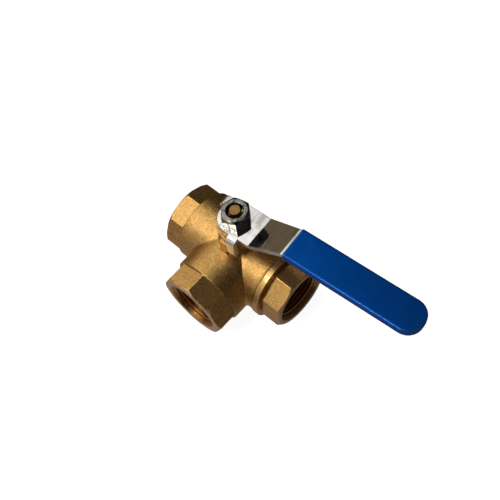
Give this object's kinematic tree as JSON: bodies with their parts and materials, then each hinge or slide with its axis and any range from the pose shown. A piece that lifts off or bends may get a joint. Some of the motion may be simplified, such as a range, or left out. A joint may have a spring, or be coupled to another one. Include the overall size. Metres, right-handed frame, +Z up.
{
  "type": "three way ball valve",
  "caption": "Brass three way ball valve with female threaded run, branch and end ports, octagonal ends and a steel lever with a dipped vinyl grip.",
  "frame": {"origin": "on the resting plane, at the centre of the round pad under the belly, straight under the stem axis", "axes": "+Z up along the stem, +X along the run towards the screwed-in end adapter, -Y towards the branch port"},
  "size_m": [0.1362, 0.0579, 0.067],
  "materials": {
    "brass_forged": "shot-blasted satin",
    "brass_turned": "turned satin",
    "brass_stem": "turned",
    "ball_chrome": "polished chrome plate",
    "ptfe": "matte white",
    "seal_rubber": "matte black",
    "lever_steel": "bright plated pressed steel",
    "nut_steel": "bright plated",
    "grip_vinyl": "glossy dipped vinyl"
  },
  "bodies": {
    "valve": {"valve_body": "brass_forged", "end_adapter": "brass_turned", "adapter_gasket": "ptfe", "seat_run": "ptfe", "seat_adapter": "ptfe", "seat_branch": "ptfe", "seat_back": "ptfe", "stem_o_ring_lower": "seal_rubber", "stem_o_ring_upper": "seal_rubber", "packing_bottom_ring": "ptfe", "packing_chevron_ring": "ptfe", "packing_top_ring": "ptfe", "packing_follower": "brass_turned", "gland_nut": "brass_turned"},
    "lever_train": {"stem": "brass_stem", "thrust_washer": "ptfe", "ball": "ball_chrome", "lever_plate": "lever_steel", "grip_sleeve": "grip_vinyl", "handle_nut": "nut_steel"}
  },
  "joints": [
    {"name": "lever_turn", "type": "hinge", "parent": "valve", "child": "lever_train", "pos_m": [0, 0, 0.0196], "axis": [0, 0, 1], "range_deg": [-4.2, 85.8]}
  ]
}
